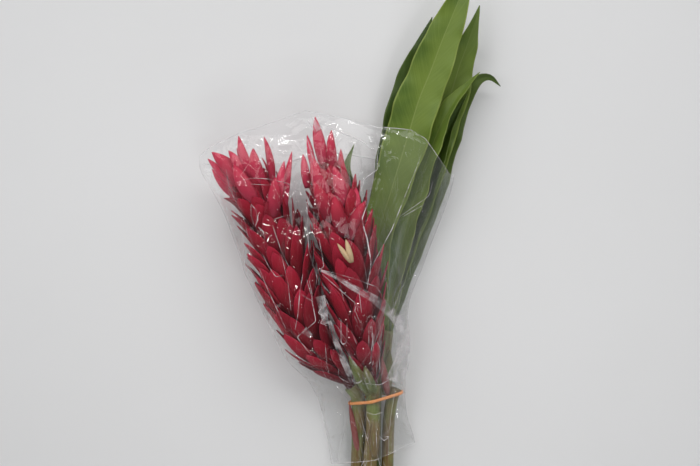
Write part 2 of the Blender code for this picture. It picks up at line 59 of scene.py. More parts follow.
# The line in plan where the two heads press on each other.
PARTING = [(12, -152), (7, -137), (-14, -107), (-25, -67), (-36, -17), (-44, 33), (-47, 73), (-52, 120)]
PARTING_GAP = 0.001

CORE_SHARE = 0.5  # the core's radius as a share of the reach
CORE_RINGS, CORE_SIDES = 40, 20
DIVERGENCE = math.radians(137.5)  # turn from one bract to the next
LEFT_BRACTS, CENTRE_BRACTS = 106, 98
FIRST_BRACT = 0.004  # the place of a head's lowest bract along its axis
BRACT_LENGTH = 0.062
BRACT_HALF_WIDTH = 0.0087
BRACT_THICKNESS = 0.0011
# A head's lowest bracts have this share of the full size, and bracts further up gain on it over this length.
LOWEST_SHARE, GAIN_LENGTH = 0.62, 0.12
# How far before the end of its axis the spiral's last bract starts, and how far before it all of them end.
LEFT_SPIRAL_END, CENTRE_SPIRAL_END = (0.056, 0.014), (0.076, 0.034)
BRACT_CUP_RADIUS = 0.011
BRACT_FLARE = 0.0006  # how far a bract's tip bends away from the head
BRACT_KEEL = 0.0007  # height of the ridge along the middle of a bract, at its root
ROOT_DEPTH = 0.55  # where a bract starts, as a share of the core's radius
LOOSE_BRACT_BOW = 0.004
LOOSE_BRACT_THICKNESS = 0.0010
# Share of a bract's length, and its half width there as a share of the widest.
BRACT_OUTLINE = [
    (0.0, 0.55), (0.25, 0.85), (0.5, 1.0), (0.68, 0.98), (0.82, 0.80), (0.91, 0.54), (0.97, 0.24),
    (1.0, 0.03),
]
LOOSE_BRACT_OUTLINE = [
    (0.0, 0.55), (0.20, 0.88), (0.42, 1.0), (0.62, 0.90), (0.78, 0.66), (0.89, 0.40), (0.96, 0.18),
    (1.0, 0.02),
]
BRACT_ROWS = 16
BRACT_COLUMNS = 9
# Single bracts that stand out at the tips of the heads: root, tip and half width in millimetres.
LEFT_TIP_BRACTS = [
    ((-112, 42, 48), (-140, 73, 55), 4.5), ((-103, 42, 56), (-135, 79, 62), 8.5),
    ((-108, 32, 38), (-138, 64, 40), 4.5), ((-100, 46, 60), (-118, 80, 68), 6),
    ((-92, 50, 62), (-108, 94, 70), 5), ((-96, 50, 54), (-111, 83, 60), 5),
    ((-84, 42, 62), (-94, 82, 70), 7), ((-76, 44, 58), (-84, 94, 63), 3.8),
    ((-72, 22, 60), (-64, 70, 66), 5), ((-64, 24, 52), (-57, 80, 58), 3.6),
    ((-76, 14, 68), (-72, 54, 76), 7), ((-92, 30, 70), (-112, 66, 76), 7.5),
]
CENTRE_TIP_BRACTS = [
    ((-24, 62, 62), (-34, 113, 66), 6), ((-14, 56, 62), (-18, 100, 66), 5.2),
    ((-10, 42, 60), (-9, 82, 64), 3.8), ((-34, 56, 56), (-42, 96, 58), 3.4),
    ((-42, 44, 58), (-46, 77, 60), 4.2), ((-18, 28, 72), (-36, 74, 76), 7.4),
    ((-7, 24, 74), (-16, 64, 78), 6.8), ((-17, 8, 80), (-35, 50, 83), 7.6),
    ((-5, -4, 84), (-15, 36, 86), 7.0), ((0, 10, 66), (6, 44, 70), 6.4), ((-2, -8, 76), (15, 31, 74), 6.2),
]
# The dried remains of a floret: two papery tines from one root, with their half width.
DRY_FLORET = [((1, -28, 88), (-12, -10, 91), 2.4), ((2, -28, 88), (-4, -6, 92), 2.8)]
# Green and reddish sheaths along the stems: root, tip and half width.
GREEN_SHEATHS = [
    ((20, -163, 39), (-1, -120, 62), 6.0), ((25, -163, 40), (14, -130, 66), 5.0),
    ((36, -164, 28), (40, -118, 30), 6), ((24, -226, 37), (26, -175, 38), 5),
]
RED_SHEATHS = [((11, -236, 20), (-1, -171, 26), 3.4), ((38, -164, 30), (31, -122, 52), 3.8)]
SHEATH_THICKNESS = 0.0007

LEAF_THICKNESS = 0.0007
LEAF_WAVE_LENGTH = 0.058
LEAF_ROWS = 84
LEAF_COLUMNS = 21
LEAF_OUTLINE = [
    (0.0, 0.16), (0.12, 0.42), (0.27, 0.68), (0.40, 0.86), (0.55, 1.0), (0.70, 0.90), (0.80, 0.74),
    (0.88, 0.48), (0.95, 0.20), (1.0, 0.02),
]
# Each leaf: midrib route, half width, roll at the base and at the tip, fold along the midrib, height of the
# waves in its margin and tone, where 1 is the lightest and a lower tone darkens the leaf. Rolls and folds are
# in degrees.
LEAVES = {
    "front": (
        [(37, -112, 15), (31, -67, 13), (29, -5, 19), (41, 40, 27), (53, 80, 33), (60, 103, 36),
         (69, 133, 39), (80, 160, 41), (92, 192, 43), (108, 231, 44), (117, 256, 43), (124, 278, 41)],
        23.5, 22, 2, 14, 2.2, 1.0,
    ),
    "behind_front": (
        [(37, -110, 12), (32, -60, 8), (32, 0, 11), (44, 60, 19), (52, 110, 26), (60, 150, 30), (71, 185, 31),
         (83, 218, 30)],
        20.0, 14, 4, 12, 1.8, 0.35,
    ),
    "tall": (
        [(38, -110, 12), (42, -70, 10), (52, -20, 12), (66, 30, 17), (80, 80, 22), (92, 115, 25),
         (102, 141, 27), (111, 170, 29), (118, 189, 30), (127, 216, 30), (131, 230, 29)],
        22.0, 6, -8, 12, 2.2, 0.72,
    ),
    "rolled": (
        [(38, -112, 15), (44, -60, 18), (56, 0, 24), (70, 50, 31), (82, 85, 36), (92, 110, 39),
         (105, 132, 40), (119, 149, 40), (130, 161, 39)],
        16.0, 20, 48, 20, 1.6, 0.8,
    ),
    "folded": (
        [(38, -110, 13), (46, -65, 14), (60, -10, 19), (76, 35, 25), (88, 72, 30), (98, 100, 32),
         (108, 121, 33), (118, 140, 32)],
        14.0, 15, 42, 26, 1.4, 0.35,
    ),
    "outer": (
        [(39, -106, 12), (54, -50, 10), (69, 0, 11), (83, 45, 14), (93, 80, 17), (104, 112, 20),
         (116, 139, 22), (129, 155, 24), (142, 158, 25), (153, 149, 24)],
        16.0, 0, -14, 14, 1.8, 0.4,
    ),
    "narrow": (
        [(35, -118, 10), (22, -75, 6), (10, -20, 6), (4, 25, 14), (-2, 50, 54), (-3, 66, 66), (4, 86, 69)],
        10.5, 0, 8, 16, 0.5, 0.6,
    ),
}

LEFT_STEM_ROUTE = [(1, -156, 24), (8, -168, 21), (9, -200, 19), (7, -260, 15), (4, -350, 9.5)]
CENTRE_STEM_ROUTE = [(23, -152, 38), (23, -168, 33), (23, -200, 31), (18, -260, 28), (12, -358, 24)]
SHOOT_STEM_ROUTE = [
    (37, -100, 12), (34, -125, 12.5), (28, -150, 13), (25, -168, 13), (24, -200, 12), (24, -260, 10.5),
    (22, -346, 9.5),
]
STUB_ROUTE = [(46, -158, 24), (42, -172, 23), (39, -200, 22), (38, -260, 21.5), (37, -354, 19)]
STEM_RADIUS = 0.0072
SHOOT_STEM_RADIUS = 0.0078
STUB_RADIUS = 0.0062
# Each stem: name, the node that it replaces, route and radius. The shoot's leaves replace the shoot's node.
STEMS = [
    ("left_stem_grown", "stem_left", LEFT_STEM_ROUTE, STEM_RADIUS),
    ("centre_stem_grown", "stem_centre", CENTRE_STEM_ROUTE, STEM_RADIUS),
    ("shoot_stem_grown", None, SHOOT_STEM_ROUTE, SHOOT_STEM_RADIUS),
    ("cut_shoot_grown", "cut_shoot", STUB_ROUTE, STUB_RADIUS),
]
STEM_SIDES = 32

TIE_X, TIE_Y = 0.024, -0.168
BAND_SLANT = 0.22  # rise in y for each step in x, as the band lies aslant on the stems
BAND_RADIUS = 0.0015
BAND_GAP = 0.0007

FILM_CLEARANCE = 0.0018
FILM_REACH_ALONG = 0.010  # how far along the sleeve each section looks for what it has to clear
FILM_SECTIONS = np.arange(-0.245, 0.128, 0.005)
FILM_AROUND = 264
FILM_FRONT = 204  # this many of the columns lie over the front
FILM_ALONG = 310
FILM_WALL = 0.0008  # the sleeve's flat underside is this far above the surface
# The sleeve's side folds, from its lower rim to its mouth.
FILM_LEFT_FOLD = [
    (-245, -18, 9), (-205, -24, 10), (-170, -32, 13), (-152, -42, 16), (-117, -62, 24), (-77, -89, 32),
    (-47, -101, 36), (-7, -116, 38), (20, -126, 38), (48, -141, 36), (62, -152, 33), (130, -152, 33),
]
FILM_RIGHT_FOLD = [
    (-245, 66, 8), (-217, 68, 8), (-190, 59, 12), (-163, 54, 22), (-127, 58, 30), (-107, 61, 32),
    (-87, 58, 32), (-57, 60, 30), (-17, 70, 26), (18, 88, 22), (40, 100, 20), (60, 104, 18), (130, 104, 18),
]
# The two rims of the mouth and the lower rim: x and y.
FRONT_RIM = [
    (-153, 76), (-135, 85), (-105, 98), (-60, 114), (-44, 120), (-33, 118), (25, 104), (60, 101), (74, 93),
    (98, 61), (130, 50),
]
BACK_RIM = [(-153, 70), (-115, 68), (-70, 73), (-45, 79), (-10, 83), (25, 77), (60, 68), (98, 58), (130, 50)]
LOWER_RIM = [(-20, -238), (68, -216)]
FLAT_SHARE = 0.26  # half width of the sleeve's flat underside as a share of the sleeve's width

DEEPEST_FURROW = 0.0022
CREASED_FROM, CREASED_OVER = 0.004, 0.012  # creases start at this height and are full this much higher
SMOOTH_COLUMNS = 40  # creases fade over this many columns towards the side folds
RIM_RADIUS = 0.00028
RIDGE_SIDES = 6
FOLD_STEP = 0.0016
FOLD_SHARE = 0.85  # a fold's ridge is this share of its listed half width
FOLD_LIFT, STRIP_LIFT = 0.0003, 0.0006  # above the film
STRIP_THICKNESS = 0.00025
HAZE_FROM, HAZE_TO = 0.005, 0.050  # the film's haze grows between these places across it
MOST_MIRROR = 0.22  # the film mirrors no more than this, however slanting
# Sharp folds in the front of the film, as seen from above: half width, then the route, in millimetres.
# They are drawn as whitish ridges: a painted highlight along each fold.
FOLDS = [
    # from the mouth down the right side of the centre head
    (0.55, [(-43, 114), (-38, 106), (-34, 99)]),
    (0.5, [(-33, 111), (-10, 101), (12, 92), (27, 80)]),
    (0.45, [(27, 80), (28, 64), (14, 54), (11, 42), (15, 31), (17, 28)]),
    (0.8, [(17, 28), (12, 14), (14, 4), (17, -5), (21, -29), (20, -42)]),
    # between the heads
    (0.35, [(-46, 104), (-41, 88), (-37, 74), (-38, 60)]),
    (0.42, [(-38, 60), (-38, 50), (-42, 30), (-43, 10), (-42, -5), (-41, -18), (-37, -32), (-30, -52)]),
    (0.5, [(-36, -34), (-33, -44), (-34, -52)]),
    # over the leaves
    (0.42, [(73, 83), (66, 64), (59, 47), (42, 4), (28, -22), (20, -36)]),
    (0.35, [(20, -36), (17, -56)]),
    # on the left head
    (0.3, [(-124, 64), (-121, 47), (-115, 33), (-105, 12), (-100, -17)]),
    (0.65, [(-99, 29), (-94, 23), (-92, 14), (-95, 6)]),
    (0.4, [(-99, 29), (-99, 18), (-96, 8)]),
    (0.65, [(-92, 6), (-87, 2), (-85, -5), (-88, -9)]),
    (0.32, [(-108, 53), (-95, 55), (-82, 54), (-63, 50), (-46, 38)]),
    (0.25, [(-100, 49), (-84, 48), (-69, 48)]),
    (0.3, [(-78, 9), (-69, -17), (-61, -34)]),
    (0.35, [(-87, -22), (-81, -34), (-74, -44), (-66, -42)]),
    (0.25, [(-81, 9), (-75, 14), (-69, 16), (-62, 18)]),
    # where the heads meet
    (0.32, [(-41, -5), (-31, -5), (-28, -22), (-26, -34), (-34, -38)]),
    (0.32, [(-55, 38), (-52, 26), (-45, 14)]),
    # ticks at the right
    (0.22, [(83, 52), (79, 37), (49, 16)]),
    (0.22, [(52, 16), (79, 31)]),
    # over the lower halves of the heads
    (0.32, [(-91, -35), (-83, -55), (-74, -74), (-64, -96)]),
    (0.5, [(-47, -40), (-50, -58), (-52, -81), (-55, -97)]),
    (0.3, [(-69, -20), (-62, -50), (-59, -78)]),
    (0.45, [
        (-41, -47), (-38, -60), (-38, -68), (-34, -88), (-43, -96), (-53, -104), (-50, -108), (-38, -123),
    ]),
    (0.5, [(-33, -68), (-28, -74), (-32, -80), (-25, -84), (-30, -90), (-22, -93)]),
    (0.4, [(-24, -66), (-21, -73), (-26, -80), (-19, -86)]),
    # along the doubled belt and below it
    (0.32, [(-32, -36), (-12, -41), (8, -47), (27, -54), (46, -86)]),
    (0.4, [(-20, -42), (-2, -50), (13, -60), (26, -70), (43, -80)]),
    (0.35, [(-28, -41), (-12, -55), (5, -70), (10, -75)]),
    (0.4, [(-9, -86), (-9, -110), (-6, -112), (-3, -108), (-3, -88)]),
    # towards the tie
    (0.32, [(-25, -109), (-23, -132), (-19, -147)]),
    (0.25, [(-17, -150), (-7, -160), (-1, -168)]),
    (0.3, [(-11, -135), (-12, -143), (-7, -147), (0, -150)]),
    (0.3, [(21, -86), (23, -104), (21, -122), (21, -134)]),
    (0.3, [(27, -108), (33, -121)]),
    (0.3, [(49, -96), (58, -109), (55, -124), (45, -134)]),
    (1.0, [(2, -146), (5, -150), (9, -150), (12, -147)]),
    (0.35, [(12, -150), (30, -152), (44, -144)]),
    (0.3, [(9, -176), (24, -182), (36, -178)]),
    # below the tie
    (0.25, [(-5, -179), (-4, -192), (-9, -211), (-12, -232)]),
    (0.4, [(8, -173), (14, -196), (23, -224)]),
    (0.55, [(28, -202), (34, -208), (40, -203), (34, -204)]),
    (0.3, [(18, -174), (16, -183), (20, -190), (17, -204)]),
    (0.25, [(-28, -173), (-26, -192), (-19, -218), (-15, -232)]),
]
# Places where the film lies double: half width at the start and at the end, then the route.
# They are drawn as whitish strips: a painted sheen.
DOUBLED = {
    "belt": (1.0, 6.0, [(-30, -37), (-10, -46), (0, -53), (23, -65), (44, -82), (51, -92)]),
    "slip": (2.2, 3.4, [(-21, -87), (-14, -109), (-6, -129), (4, -150)]),
    "side": (5.0, 9.0, [(49, -82), (54, -106), (52, -128), (44, -150)]),
    "turned_corner": (0.8, 4.0, [(-38, 117), (-34, 108), (-30, 102)]),
    "glint_patch": (5.0, 3.0, [(-30, -62), (-27, -76), (-24, -92)]),
    "left_end": (4.0, 2.0, [(-47, -96), (-38, -104)]),
}

SCALE_PLANE = 0.040  # the height where a pixel of the picture is a millimetre
CAMERA_HEIGHT = 0.972  # above that plane
LIT_SPOT = (0.05, -0.02, 0.0)  # the lights point here


def unit(v):
    return v / np.linalg.norm(v)


def side_and_up(tangent):
    """The level direction across a tangent, and the one square to both."""
    side = unit(np.cross(tangent, (0, 0, 1)))
    return side, np.cross(side, tangent)


def distances(chain):
    """How far along a chain each of its points lies."""
    return np.concatenate([[0], np.cumsum(np.linalg.norm(np.diff(chain, axis=0), axis=1))])


def points_at(chain, places, wanted):
    """Points on a chain at the wanted places, where its own points lie at the given ones."""
    return np.stack([np.interp(wanted, places, column) for column in chain.T], axis=-1)


def smooth_route(points, step):
    """A smooth curve through the given points: points on it a step apart, and its length."""
    knots = np.array(points, float) * MM
    padded = np.vstack([2 * knots[0] - knots[1], knots, 2 * knots[-1] - knots[-2]])
    dense = []
    for p0, p1, p2, p3 in zip(padded, padded[1:], padded[2:], padded[3:]):
        for t in np.linspace(0, 1, 24, endpoint=False):
            dense.append(
                0.5 * (2 * p1 + (p2 - p0) * t + (2 * p0 - 5 * p1 + 4 * p2 - p3) * t**2
                       + (3 * p1 - p0 - 3 * p2 + p3) * t**3)
            )
    dense = np.array(dense + [knots[-1]])
    travelled = distances(dense)
    count = max(3, round(travelled[-1] / step) + 1)
    return points_at(dense, travelled, np.linspace(0, travelled[-1], count)), travelled[-1]


def profile(pairs, at, scale=1.0):
    """The value at a place between the given pairs of place and value."""
    xs, ys = zip(*pairs)
    return float(np.interp(at, xs, ys)) * scale


class Axis:
    """A head's curved axis."""

    def __init__(self, route):
        self.points, self.length = smooth_route(route, 0.004)
        self.at = np.linspace(0, self.length, len(self.points))
        tangents = np.gradient(self.points, axis=0)
        self.tangents = tangents / np.linalg.norm(tangents, axis=1)[:, None]

    def place(self, along, angle, out, across=0.0):
        """A point by its distance along, its angle round, its distance out and its distance to one side."""
        inside = min(max(along, 0.0), self.length)
        centre = points_at(self.points, self.at, inside)
        tangent = unit(points_at(self.tangents, self.at, inside))
        side, up = side_and_up(tangent)
        outward = side * math.cos(angle) + up * math.sin(angle)
        sideways = up * math.cos(angle) - side * math.sin(angle)
        return centre + tangent * (along - inside) + outward * out + sideways * across


class Sheets:
    """Gathers thin blades and tubes into one mesh, with a UV map and a tone for each of them."""

    def __init__(self):
        self.vertices, self.faces, self.uvs, self.tones = [], [], [], []

    def add(self, points, faces, uvs, tone):
        start = len(self.vertices)
        self.vertices += [tuple(p) for p in points]
        self.uvs += [tuple(uv) for uv in uvs]
        self.tones += [tone] * len(points)
        self.faces += [tuple(start + i for i in face) for face in faces]

    def blade(self, grid, thickness, tone, edge_share=0.35):
        """A blade round a grid of middle points, thinner towards its margins."""
        grid = np.array(grid, float)
        rows, columns, _ = grid.shape
        normals = np.cross(np.gradient(grid, axis=1), np.gradient(grid, axis=0))
        normals /= np.linalg.norm(normals, axis=2)[:, :, None] + 1e-12
        u = np.linspace(-1, 1, columns)
        half = thickness / 2 * (1 - (1 - edge_share) * np.abs(u) ** 3)[None, :, None]
        points = np.vstack([(grid + normals * half).reshape(-1, 3), (grid - normals * half).reshape(-1, 3)])
        v = np.linspace(0, 1, rows)
        uv = [((a + 1) / 2, b) for b in v for a in u]
        count = rows * columns
        faces = []
        for i in range(rows - 1):
            for j in range(columns - 1):
                a = i * columns + j
                b, c, d = a + 1, a + 1 + columns, a + columns
                faces += [(a, b, c, d), (a + count, d + count, c + count, b + count)]
        rim = list(range(columns))
        rim += [i * columns + columns - 1 for i in range(1, rows)]
        rim += [(rows - 1) * columns + j for j in range(columns - 2, -1, -1)]
        rim += [i * columns for i in range(rows - 2, 0, -1)]
        for a, b in zip(rim, rim[1:] + rim[:1]):
            faces.append((a, a + count, b + count, b))
        self.add(points, faces, uv + uv, tone)

    def tube(self, rings, tone, closed=False, capped=True):
        """A loft through rings of points, closed on itself, with flat caps or open at its ends."""
        rings = np.array(rings, float)
        count, sides, _ = rings.shape
        uv = [(j / sides, i / (count - 1)) for i in range(count) for j in range(sides)]
        faces = []
        for i in range(count if closed else count - 1):
            for j in range(sides):
                a, b = i * sides + j, i * sides + (j + 1) % sides
                c, d = (b + sides) % (count * sides), (a + sides) % (count * sides)
                faces.append((a, b, c, d))
        if capped and not closed:
            faces.append(tuple(range(sides - 1, -1, -1)))
            faces.append(tuple(range((count - 1) * sides, count * sides)))
        self.add(rings.reshape(-1, 3), faces, uv, tone)

    def object(self, name, material):
        """The gathered mesh as an object in the frame's place."""
        mesh = bpy.data.meshes.new(name)
        mesh.from_pydata([tuple(np.array(v) + SHIFT) for v in self.vertices], [], self.faces)
        layer = mesh.uv_layers.new(name="UVMap")
        corners = np.empty(len(mesh.loops), int)
        mesh.loops.foreach_get("vertex_index", corners)
        layer.data.foreach_set("uv", np.array(self.uvs, float)[corners].ravel())
        tone = mesh.attributes.new("tone", "FLOAT", "POINT")
        tone.data.foreach_set("value", np.array(self.tones, float))
        mesh.update()
        mesh.shade_smooth()
        mesh.materials.append(material)
        made = bpy.data.objects.new(name, mesh)
        bpy.context.scene.collection.objects.link(made)
        return made


def parting_x(y):
    """The parting line's place across, at y."""
    xs, ys = zip(*PARTING)
    return float(np.interp(y, np.array(ys) * MM, np.array(xs) * MM))


def kept_apart(point, side):
    """Holds a point of a head on its own side of the parting line."""
    point[0] += side * max(0.0, side * (parting_x(point[1]) + side * PARTING_GAP - point[0]))
    return point


def bract_rows():
    """Shares of a bract's length at its rows, which lie closer together towards the tip."""
    return 1 - (1 - np.linspace(0, 1, BRACT_ROWS)) ** 1.5


def bract_grid(axis, reach, base, angle, length, half_width, lift, side, twist):
    """A bract of a head's spiral: it rises from the core, leans outwards and is hollow on its inner side."""
    root = profile(reach, base / MM, MM) * CORE_SHARE * ROOT_DEPTH
    tip = profile(reach, (base + length) / MM, MM) * lift
    grid = []
    for share in bract_rows():
        out = root + (tip - root) * share**0.7 + BRACT_FLARE * share**5
        row = []
        for u in np.linspace(-1, 1, BRACT_COLUMNS):
            across = u * profile(BRACT_OUTLINE, share) * half_width
            drop = across**2 / (2 * BRACT_CUP_RADIUS) * (1 - 0.35 * share)
            keel = BRACT_KEEL * max(0.0, 1 - abs(u) * 4) * (1 - share)
            row.append(kept_apart(
                axis.place(base + length * share, angle + twist * share, out - drop + keel, across), side
            ))
        grid.append(row)
    return grid


def single_bract(root, tip, half_width, bend=0.0):
    """A long narrow bract with its hollow side down. The bend is a share of its length, to one side."""
    root, tip = np.array(root, float) * MM, np.array(tip, float) * MM
    along = tip - root
    across = unit(np.cross(along, (0, 0, 1)))
    up = unit(np.cross(across, along))
    grid = []
    for share in bract_rows():
        width = profile(LOOSE_BRACT_OUTLINE, share) * half_width * MM
        sway = across * np.linalg.norm(along) * bend * (share**2 - share)
        row = []
        for u in np.linspace(-1, 1, BRACT_COLUMNS):
            bow = LOOSE_BRACT_BOW * math.sin(math.pi * min(1, share * 1.1)) - u * u * width * 0.55
            row.append(root + along * share + across * u * width + up * bow + sway)
        grid.append(row)
    return grid


def bract_bases(axis, count, before_end):
    """The places of the spiral's bracts along the axis, a little wider apart at the foot."""
    last = axis.length - before_end
    return [FIRST_BRACT + (last - FIRST_BRACT) * (i / (count - 1)) ** 0.97 for i in range(count)]


def head(name, route, reach, count, spiral_end, seed, side, tips, material):
    """A flower head: a core, a spiral of bracts round it and the loose bracts at its tip."""
    draw = random.Random(seed)
    finer = random.Random(seed + 100)
    axis = Axis(route)
    sheets = Sheets()
    rings = []
    for along in np.linspace(0, axis.length - spiral_end[1], CORE_RINGS):
        radius = profile(reach, along / MM, MM) * CORE_SHARE
        rings.append([axis.place(along, 2 * math.pi * k / CORE_SIDES, radius) for k in range(CORE_SIDES)])
    # The core takes the lowest tone, which turns it the darkest red of the head: a painted shade for the gaps
    # between the bracts.
    sheets.tube(rings, 0.25)
    for index, base in enumerate(bract_bases(axis, count, spiral_end[0])):
        ripe = min(1.0, LOWEST_SHARE + base / GAIN_LENGTH)
        length = min(BRACT_LENGTH * ripe * draw.uniform(0.92, 1.08), axis.length - spiral_end[1] - base)
        half_width = BRACT_HALF_WIDTH * ripe * draw.uniform(0.9, 1.06)
        half_width = min(half_width, profile(reach, (base + length) / MM, MM) * 0.75 + 0.002)
        angle = index * DIVERGENCE + math.radians(draw.uniform(-7, 7))
        lift = draw.uniform(0.88, 1.0) * finer.uniform(0.93, 1.05)
        angle += math.radians(finer.uniform(-7, 7))
        length *= finer.uniform(0.82, 1.0)
        half_width *= finer.uniform(0.82, 1.14)
        twist = math.radians(finer.uniform(-15, 15))
        grid = bract_grid(axis, reach, base, angle, length, half_width, lift, side, twist)
        sheets.blade(grid, BRACT_THICKNESS, finer.uniform(0.3, 1.0))
    for root, tip, half_width in tips:
        grid = single_bract(root, tip, half_width, finer.uniform(-0.3, 0.3))
        sheets.blade(grid, LOOSE_BRACT_THICKNESS, finer.uniform(1.15, 1.5))
    return sheets.object(name, material)


def leaf_grid(route, half_width, roll_base, roll_tip, fold, wave, phase):
    """A leaf along its midrib, folded and rolled, with waved and slightly uneven margins."""
    points, length = smooth_route(route, 0.003)
    at = np.linspace(0, 1, len(points))
    grid = []
    for share in np.linspace(0, 1, LEAF_ROWS + 1):
        centre = points_at(points, at, share)
        ahead = points_at(points, at, min(share + 0.02, 1))
        behind = points_at(points, at, max(share - 0.02, 0))
        right, up = side_and_up(unit(ahead - behind))
        roll = math.radians(roll_base + (roll_tip - roll_base) * share)
        rolled_right = right * math.cos(roll) + up * math.sin(roll)
        rolled_up = up * math.cos(roll) - right * math.sin(roll)
        reach = profile(LEAF_OUTLINE, share) * half_width * MM
        tilt = math.radians(fold)
        row = []
        for u in np.linspace(-1, 1, LEAF_COLUMNS):
            turn = share * length / LEAF_WAVE_LENGTH * 2 * math.pi + phase + (1.3 if u > 0 else 0)
            ripple = math.sin(turn) + 0.35 * math.sin(turn * 2.7 + phase * 3)
            soft = math.sqrt(u * u + 0.004) - math.sqrt(0.004)
            lift = soft * reach * math.tan(tilt) + u * u * wave * MM * ripple * min(1, reach / 0.01)
            edge = 1 + 0.028 * math.sin(turn * 1.3 + 2 * u) * abs(u) ** 3
            row.append(centre + rolled_right * u * reach * edge * math.cos(tilt) + rolled_up * lift)
        grid.append(row)
    return grid


def stem_rings(points, radius, sides=STEM_SIDES, wobble=0.04, seed=0):
    """Round sections along a route, a little uneven, as grown stems are."""
    draw = random.Random(seed)
    waves = [(draw.uniform(30, 90), draw.uniform(0, 6), draw.randint(0, 2)) for _ in range(4)]
    tangents = np.gradient(points, axis=0)
    rings = []
    for n, (point, tangent) in enumerate(zip(points, tangents)):
        side, up = side_and_up(unit(tangent))
        local = radius[n] if hasattr(radius, "__len__") else radius
        ring = []
        for k in range(sides):
            a = 2 * math.pi * k / sides
            uneven = sum(math.sin(point[1] * f + p + a * m) for f, p, m in waves) * wobble / 4
            ring.append(point + (side * math.cos(a) + up * math.sin(a)) * local * (1 - abs(uneven)))
        rings.append(ring)
    return rings


def convex_outline(points):
    """The convex hull of points in a plane, anticlockwise."""
    ordered = sorted(set((float(a), float(b)) for a, b in points))

    def turn(o, a, b):
        return (a[0] - o[0]) * (b[1] - o[1]) - (a[1] - o[1]) * (b[0] - o[0])

    def half(run):
        chain = []
        for p in run:
            while len(chain) > 1 and turn(chain[-2], chain[-1], p) <= 0:
                chain.pop()
            chain.append(p)
        return chain[:-1]

    return half(ordered) + half(reversed(ordered))


def band_y(x):
    """The band's place along the stems, at x."""
    return TIE_Y + BAND_SLANT * (x - TIE_X)


def rubber_band(material):
    """The rubber band as a fine closed loop pulled round the stems, a little uneven in thickness."""
    outline = []
    for _, _, route, radius in STEMS:
        points, _ = smooth_route(route, 0.0015)
        out = radius + BAND_GAP + BAND_RADIUS
        for k in range(48):
            turn = 2 * math.pi * k / 48
            x = TIE_X
            for _ in range(4):
                centre = points[np.argmin(np.abs(points[:, 1] - band_y(x)))]
                x = centre[0] + out * math.cos(turn)
            outline.append((x, centre[2] + out * math.sin(turn)))
    hull = np.array(convex_outline(outline))
    closed = np.vstack([hull, hull[:1]])
    travelled = distances(closed)
    loop = points_at(closed, travelled, np.linspace(0, travelled[-1], 160, endpoint=False))
    path = np.array([(x, band_y(x), z) for x, z in loop])
    ahead, behind = np.roll(path, -1, axis=0), np.roll(path, 1, axis=0)
    rings = []
    for n, point in enumerate(path):
        tangent = unit(ahead[n] - behind[n])
        outward = unit(np.cross(tangent, (0, 1, 0)))
        width = np.cross(outward, tangent)
        size = BAND_RADIUS * (1 + 0.05 * math.sin(n * 0.37) + 0.03 * math.sin(n * 1.1))
        rings.append([
            point + outward * size * 0.86 * math.cos(a) + width * size * 1.05 * math.sin(a)
            for a in np.linspace(0, 2 * math.pi, 16, endpoint=False)
        ])
    sheets = Sheets()
    sheets.tube(rings, 0.5, closed=True)
    return sheets.object("band_of_rubber", material)


def fold_at(fold, y):
    """A side fold's x and z at y."""
    ys, xs, zs = np.array(fold, float).T * MM
    return float(np.interp(y, ys, xs)), float(np.interp(y, ys, zs))


def resampled(chain, count):
    """Points spread evenly over a chain of points in a plane."""
    chain = np.array(chain)
    travelled = distances(chain)
    return points_at(chain, travelled, np.linspace(0, travelled[-1], count))


def film_section(contents, y):
    """The taut film round what the sleeve holds at y: a loop over the front and back underneath."""
    near = contents[np.abs(contents[:, 1] - y) < FILM_REACH_ALONG]
    left, right = fold_at(FILM_LEFT_FOLD, y), fold_at(FILM_RIGHT_FOLD, y)
    middle, flat = (left[0] + right[0]) / 2, (right[0] - left[0]) * FLAT_SHARE
    points = [left, right, (middle - flat, FILM_WALL), (middle + flat, FILM_WALL)]
    if len(near):
        bare = convex_outline(near[:, [0, 2]])
        for k in range(8):
            turn = 2 * math.pi * k / 8
            push = FILM_CLEARANCE * math.cos(turn), FILM_CLEARANCE * math.sin(turn)
            points += [(a + push[0], b + push[1]) for a, b in bare]
    points = [(x, max(z, FILM_WALL)) for x, z in points]
    hull = convex_outline(points)
    start = min(range(len(hull)), key=lambda i: hull[i][0])
    hull = hull[start:] + hull[:start]
    far = max(range(len(hull)), key=lambda i: hull[i][0])
    over = resampled((hull[far:] + hull[:1])[::-1], FILM_FRONT + 1)
    under = resampled(hull[: far + 1], FILM_AROUND - FILM_FRONT + 1)
    return np.vstack([over, under[-2:0:-1]])


def smoothed(values, axis, times):
    """A field with its neighbours' mean taken in, several times over."""
    for _ in range(times):
        if axis == 0:
            padded = np.concatenate([values[:1], values, values[-1:]])
            values = (padded[:-2] + 2 * padded[1:-1] + padded[2:]) / 4
        else:
            values = (np.roll(values, 1, axis=1) + 2 * values + np.roll(values, -1, axis=1)) / 4
    return values


def creases(around, along, seed, count, height, width, length, slope):
    """A field of straight creases: each is a narrow ridge or furrow that fades out at both ends.

    Most creases run along the sleeve, because the film is drawn together at the tie.
    """
    draw = random.Random(seed)
    field = np.zeros_like(around)
    for _ in range(count):
        centre = (draw.uniform(around.min(), around.max()), draw.uniform(along.min(), along.max()))
        angle = math.radians(90 + draw.gauss(0, slope))
        reach, half = draw.uniform(*length), draw.uniform(*width)
        rise = draw.choice((-1, 1)) * draw.uniform(*height)
        a, b = around - centre[0], along - centre[1]
        forward = a * math.cos(angle) + b * math.sin(angle)
        sideways = -a * math.sin(angle) + b * math.cos(angle)
        ridge = np.maximum(0, 1 - np.abs(sideways) / half)
        fade = np.maximum(0, 1 - (forward / reach) ** 2)
        field += rise * ridge * fade
    return field


